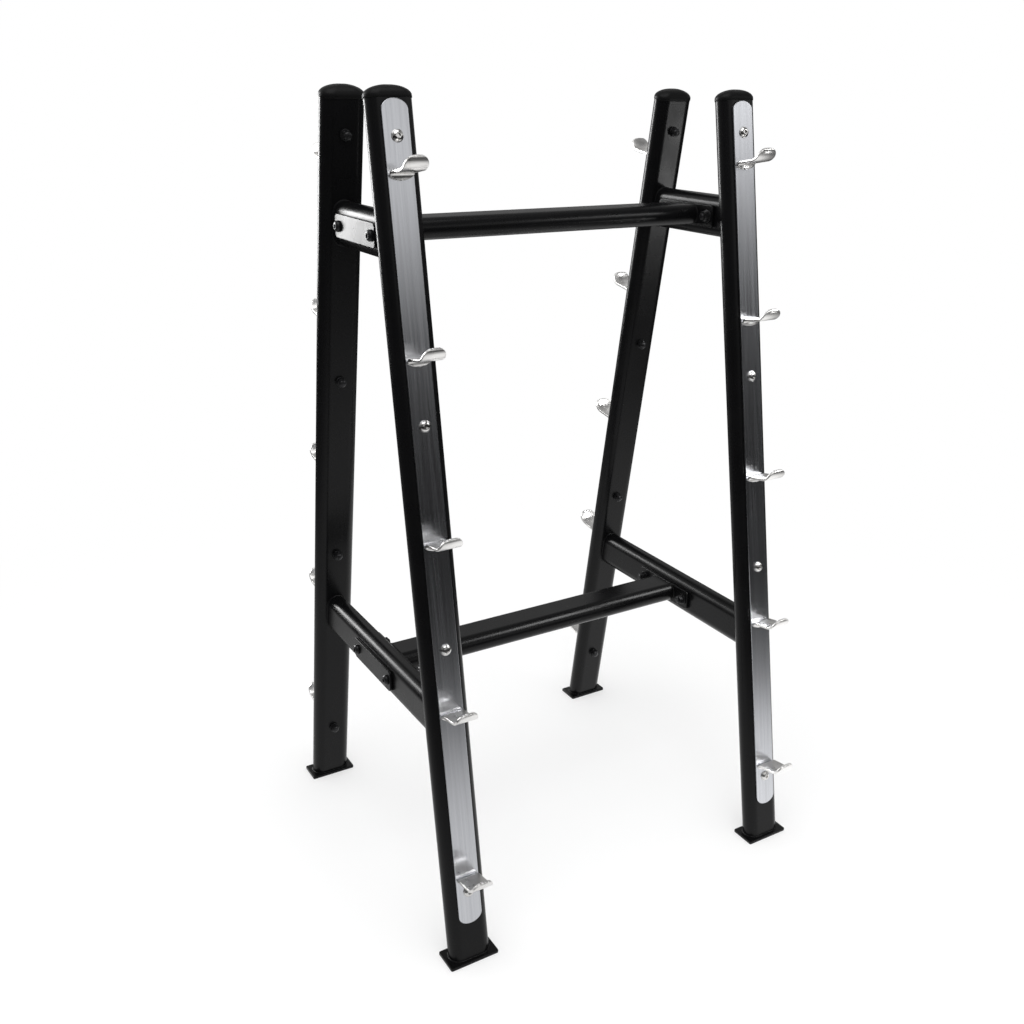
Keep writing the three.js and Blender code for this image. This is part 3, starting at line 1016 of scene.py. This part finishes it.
class RACK_OT_braces(bpy.types.Operator):
    """Makes the mitred braces of the side frames"""

    bl_idname = "rack.braces"
    bl_label = "Braces"

    def execute(self, context):
        sizes = context.scene.rack_sizes
        for name, side, level in each_joint():
            ring_at = partial(brace_ring, sizes, side, level)
            add_tube(f"{name}_brace_tube", f"{name}_brace", ring_at, -1, 1, sizes.tube_wall)
        return {"FINISHED"}


def crossbar_ring(sizes, level, x, wall=0):
    """Outline of a crossbar at one X."""
    return [Vector((x, p.x, BRACE_HEIGHTS[level] + p.y)) for p in tube_outline(sizes, wall)]


class RACK_OT_crossbars(bpy.types.Operator):
    """Makes the two crossbars"""

    bl_idname = "rack.crossbars"
    bl_label = "Crossbars"

    def execute(self, context):
        sizes = context.scene.rack_sizes
        for level in LEVELS:
            node = f"{level}_crossbar"
            low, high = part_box(node)
            ring_at = partial(crossbar_ring, sizes, level)
            add_tube(f"{node}_tube", node, ring_at, low.x, high.x, sizes.tube_wall)
        return {"FINISHED"}


class RACK_OT_joint_plates(bpy.types.Operator):
    """Makes the clamp plates and flanges of the bolted joints"""

    bl_idname = "rack.joint_plates"
    bl_label = "Joint plates"

    def execute(self, context):
        back = context.scene.rack_sizes.tube_deep / 2 + SEAT_GAP
        lay = Matrix(((0, 0, 1, back), (1, 0, 0, 0), (0, 1, 0, 0), (0, 0, 0, 1)))
        for name, side, level in each_joint():
            for part, turn in (("clamp_plate", 0), ("crossbar_flange", math.pi)):
                node = f"{name}_{part}"
                place = side_matrix(side, level) @ Matrix.Rotation(turn, 4, "Z") @ lay
                mesh = plate_mesh(f"{node}_body", PLATE_SIZE, PLATE_CORNER, PLATE_RIM, place)
                add_piece(mesh, "powder_coat", [node])
        return {"FINISHED"}


class RACK_OT_joint_bolts(bpy.types.Operator):
    """Sets the black bolts of the crossbars"""

    bl_idname = "rack.joint_bolts"
    bl_label = "Joint bolts"

    def execute(self, context):
        face = plate_face(context.scene.rack_sizes) + SEAT_GAP
        heads, nuts, nodes = [], [], []
        for name, side, level in each_joint():
            for end_name, end in ENDS:
                nodes.append(f"{name}_{end_name}_bolt")
                y = end * JOINT_BOLT_SPACING / 2
                spin = Matrix.Rotation(JOINT_BOLT_SPIN * len(nodes), 4, "Z")
                for marks, sign in ((heads, 1), (nuts, -1)):
                    place = Matrix.Translation((sign * face, y, 0))
                    place = place @ Matrix.Rotation(sign * math.pi / 2, 4, "Y")
                    marks.append(side_matrix(side, level) @ place @ spin)
        add_turned("joint_bolt_heads", JOINT_HEAD, heads, "black_zinc", nodes)
        add_turned("joint_bolt_nuts", JOINT_NUT, nuts, "black_zinc")
        return {"FINISHED"}


def hook_bead_path(sizes, matrix, height):
    """Line along the edge of a hook's tongue, on the guard strip."""
    half_wide = sizes.hook_wide / 2
    drop = HOOK_TONGUE - sizes.hook_thick / 2
    y = -strip_face(sizes)
    path = []
    for turn in HOOK_BEAD_ANGLES:
        z = height - sizes.hook_thick / 2 + drop * math.sin(turn)
        path.append(matrix @ Vector((half_wide * math.cos(turn), y, z)))
    return path


class RACK_OT_welds(bpy.types.Operator):
    """Lays the weld beads of frame and hooks"""

    bl_idname = "rack.welds"
    bl_label = "Welds"

    def execute(self, context):
        sizes = context.scene.rack_sizes
        seams, hook_seams = [], []
        for name, matrix in each_leg():
            foot_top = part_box(f"{name}_foot")[1].z
            seams.append((upright_ring(sizes, matrix, foot_top), True))
            for height in HOOK_SHELVES:
                hook_seams.append((hook_bead_path(sizes, matrix, height), False))
        for _, side, level in each_joint():
            seams += [(brace_ring(sizes, side, level, end), True) for _, end in ENDS]
            inner = side * (HALF_SPACING - plate_face(sizes))
            seams.append((crossbar_ring(sizes, level, inner), True))
        fine = sizes.bead_radius * HOOK_BEAD_SHARE
        for name, paths, radius, coat, slot in (
            ("frame_welds", seams, sizes.bead_radius, "powder_coat", "frame"),
            ("hook_welds", hook_seams, fine, "nickel_plate", "hooks"),
        ):
            add_piece(beads(name, paths, radius, coat), coat)
        return {"FINISHED"}


# Stage

# Brightness of the room in the metal, as (degrees over the horizon, grey)
FRONT_LEVELS = (
    (-25, 0.022), (-6, 0.013), (1, 0.015), (5, 0.07), (8, 0.28), (11, 0.8), (14, 1.08),
    (17, 0.98), (22, 0.42), (32, 0.15),
)
REAR_LEVELS = ((-25, 0.35), (2, 0.3), (11, 0.2), (22, 0.4), (30, 0.8), (45, 0.3))
# Where a direction's Y turns the front's levels into the rear's, and its X dims the front
REAR_TURN = (-0.25, 0.25)
LEFT_TURN = (-0.1, -0.4)
LEFT_DIMMING = 0.85
EVEN_LIGHT = (0.95, 0.95, 0.95, 1)
BLACK = (0, 0, 0, 1)
WHITE = (1, 1, 1, 1)

# Brightness of the floor in the metal, as (metres from the rack's middle, grey), and how it
# grows from the rack's left to its right
FLOOR_LEVELS = ((0.7, 1.05), (1.2, 0.77), (1.9, 0.22), (2.9, 0.04), (4.5, 0.015))
FLOOR_SIDES, FLOOR_SIDE_LEVELS = (-0.3, 0.9), (0.82, 1.3)
# Distances between which the floor burns out for the camera, and how far it does
FLOOR_FADE, FLOOR_WHITENESS = (0.5, 2.2), (0.4, 1)
FLOOR_RADIUS = 30
FLOOR_SEGMENTS = 96
CAMERA_REACH = 200

# Each lamp's place, target, size, watts, whether only mirrors see it, and spread in degrees
LAMPS = {
    "overhead_lamp": ((-0.6, -0.8, 3.4), (0, 0, 0.7), (2.6, 2.6), 45, False, 180),
    "rear_wall": ((-2.74, 7.5, 1.55), (0, 0, 1.2), (2.3, 3.1), 320, True, 180),
    "rear_window": ((-3.95, 6.45, 3.06), (0, 0, 0.5), (1.26, 2.4), 170, True, 180),
    "side_card": ((0.85, -0.66, 1.5), (0.2, 0, 0.45), (0.7, 0.5), 2.8, True, 70),
    "low_card": ((2.54, -2.41, 0.28), (0.35, 0.2, 1.42), (0.5, 0.55), 0.13, True, 16),
}


def elevation_ramp(tree, height, stops):
    """Grey level by the height of a direction; stops are (degrees, grey) over the horizon."""
    places = [((math.sin(math.radians(degrees)) + 1) / 2, grey) for degrees, grey in stops]
    return ramp(tree, math_node(tree, "MULTIPLY_ADD", height, 0.5, 0.5), places)


def split_place(tree, source):
    """Texture coordinates of a kind, and their X, Y and Z."""
    place = tree.nodes.new("ShaderNodeTexCoord").outputs[source]
    split = feed(tree, tree.nodes.new("ShaderNodeSeparateXYZ"), Vector=place)
    return place, *split.outputs


def add_world(scene):
    """White for the camera, a studio's bright and dark bands in the metal, even light elsewhere."""
    world = bpy.data.worlds.new("studio")
    scene.world = world
    world.use_nodes = True
    tree = world.node_tree
    rays = tree.nodes.new("ShaderNodeLightPath").outputs
    _, x, y, z = split_place(tree, "Generated")
    dimming = map_range(tree, x, LEFT_TURN, (0, LEFT_DIMMING), smooth=True)
    front = blend(tree, dimming, elevation_ramp(tree, z, FRONT_LEVELS), BLACK)
    rear = elevation_ramp(tree, z, REAR_LEVELS)
    bands = blend(tree, map_range(tree, y, REAR_TURN, (0, 1), smooth=True), front, rear)
    mirrored = blend(tree, rays["Is Glossy Ray"], EVEN_LIGHT, bands)
    direct = math_node(tree, "MAXIMUM", rays["Is Camera Ray"], rays["Is Transmission Ray"])
    feed(tree, tree.nodes["Background"], Color=blend(tree, direct, mirrored, WHITE), Strength=1)


def floor_finish(colour):
    """Pale floor that keeps a soft shadow and fades into the dark of the room in the metal."""
    material, tree, shader = new_material("floor")
    feed(tree, shader, Base_Color=(*colour, 1), Roughness=0.9, Specular_IOR_Level=0)
    rays = tree.nodes.new("ShaderNodeLightPath").outputs
    place, x, _, _ = split_place(tree, "Object")
    length = tree.nodes.new("ShaderNodeVectorMath")
    length.operation = "LENGTH"
    distance = feed(tree, length, Vector=place).outputs["Value"]
    span = FLOOR_LEVELS[-1][0]
    stops = [(metres / span, grey) for metres, grey in FLOOR_LEVELS]
    mirrored = output(
        tree, "ShaderNodeEmission",
        Color=ramp(tree, math_node(tree, "DIVIDE", distance, span), stops),
        Strength=map_range(tree, x, FLOOR_SIDES, FLOOR_SIDE_LEVELS),
    )
    whiteness = map_range(tree, distance, FLOOR_FADE, FLOOR_WHITENESS, smooth=True)
    burned = math_node(tree, "MULTIPLY", rays["Is Camera Ray"], whiteness)
    surface = shader.outputs["BSDF"]
    for share, above in (
        (rays["Is Glossy Ray"], mirrored), (burned, output(tree, "ShaderNodeEmission"))
    ):
        surface = in_order(tree, tree.nodes.new("ShaderNodeMixShader"), share, surface, above)
    feed(tree, tree.nodes["Material Output"], Surface=surface)
    return material


def add_floor(colour):
    """Wide round floor under the rack."""
    bm = bmesh.new()
    bmesh.ops.create_circle(bm, cap_ends=True, segments=FLOOR_SEGMENTS, radius=FLOOR_RADIUS)
    mesh = bpy.data.meshes.new("floor")
    bm.to_mesh(mesh)
    bm.free()
    mesh.materials.append(floor_finish(colour))
    floor = put("floor", mesh)


def add_camera(scene, settings):
    """Camera that stands where the photo was taken."""
    heading, pitch, roll = settings.camera_heading, settings.camera_pitch, settings.camera_roll
    ahead = Vector((
        math.sin(heading) * math.cos(pitch),
        math.cos(heading) * math.cos(pitch),
        math.sin(pitch),
    ))
    level = Vector((math.cos(heading), -math.sin(heading), 0))
    above = level.cross(ahead)
    right = level * math.cos(roll) + above * math.sin(roll)
    up = above * math.cos(roll) - level * math.sin(roll)
    data = bpy.data.cameras.new("photo_camera")
    data.lens = settings.focal_length
    data.shift_x = settings.shift_x
    data.shift_y = settings.shift_y
    data.clip_end = CAMERA_REACH
    camera = put("photo_camera", data)
    turn = Matrix((right, up, -ahead)).transposed().to_4x4()
    camera.matrix_world = Matrix.Translation(settings.camera_place) @ turn
    scene.camera = camera


def add_lamp(name, place, target, size, watts, mirrored_only, spread_degrees):
    """Rectangular lamp that shines at a point; the camera never sees it."""
    data = bpy.data.lights.new(name, "AREA")
    data.shape = "RECTANGLE"
    data.size, data.size_y = size
    data.energy = watts
    data.spread = math.radians(spread_degrees)
    lamp = put(name, data)
    aim = (Vector(target) - Vector(place)).to_track_quat("-Z", "Y")
    lamp.matrix_world = Matrix.Translation(place) @ aim.to_matrix().to_4x4()
    lamp.visible_camera = False
    lamp.visible_diffuse = not mirrored_only


class RACK_OT_stage(bpy.types.Operator):
    """Makes the camera, the floor and the light"""

    bl_idname = "rack.stage"
    bl_label = "Stage"

    def execute(self, context):
        scene = context.scene
        add_camera(scene, scene.rack_stage)
        add_floor(scene.rack_stage.floor_colour)
        for name, lamp in LAMPS.items():
            add_lamp(name, *lamp)
        add_world(scene)
        scene.view_settings.view_transform = "Standard"
        return {"FINISHED"}


class RACK_PT_panel(bpy.types.Panel):
    """Lists the rack's sizes, finishes and pieces"""

    bl_label = "Barbell rack"
    bl_idname = "RACK_PT_panel"
    bl_space_type = "VIEW_3D"
    bl_region_type = "UI"
    bl_category = "Rack"

    def draw(self, context):
        for group in GROUPS:
            column = self.layout.box().column()
            settings = getattr(context.scene, group)
            for key in settings.bl_rna.properties.keys():
                if key not in ("rna_type", "name"):
                    column.prop(settings, key)
        for operator in OPERATORS:
            self.layout.operator(operator.bl_idname)


GROUPS = {
    "rack_sizes": RackSizes,
    "rack_finishes": RackFinishes,
    "rack_stage": StageSettings,
}
OPERATORS = (
    RACK_OT_stage, RACK_OT_uprights, RACK_OT_end_caps, RACK_OT_feet, RACK_OT_guard_strips,
    RACK_OT_guard_bolts, RACK_OT_hooks, RACK_OT_braces, RACK_OT_crossbars,
    RACK_OT_joint_plates, RACK_OT_joint_bolts, RACK_OT_welds,
)


def register():
    """Registers the property groups, operators and panel."""
    for key, group in GROUPS.items():
        bpy.utils.register_class(group)
        setattr(bpy.types.Scene, key, bpy.props.PointerProperty(type=group))
    for cls in (*OPERATORS, RACK_PT_panel):
        bpy.utils.register_class(cls)


def unregister():
    """Takes the panel, operators and property groups away."""
    for cls in (RACK_PT_panel, *reversed(OPERATORS)):
        bpy.utils.unregister_class(cls)
    for key, group in reversed(GROUPS.items()):
        delattr(bpy.types.Scene, key)
        bpy.utils.unregister_class(group)


def main():
    """Builds the stage and every piece."""
    register()
    for operator in OPERATORS:
        group, name = operator.bl_idname.split(".")
        getattr(getattr(bpy.ops, group), name)()


if __name__ == "__main__":
    main()
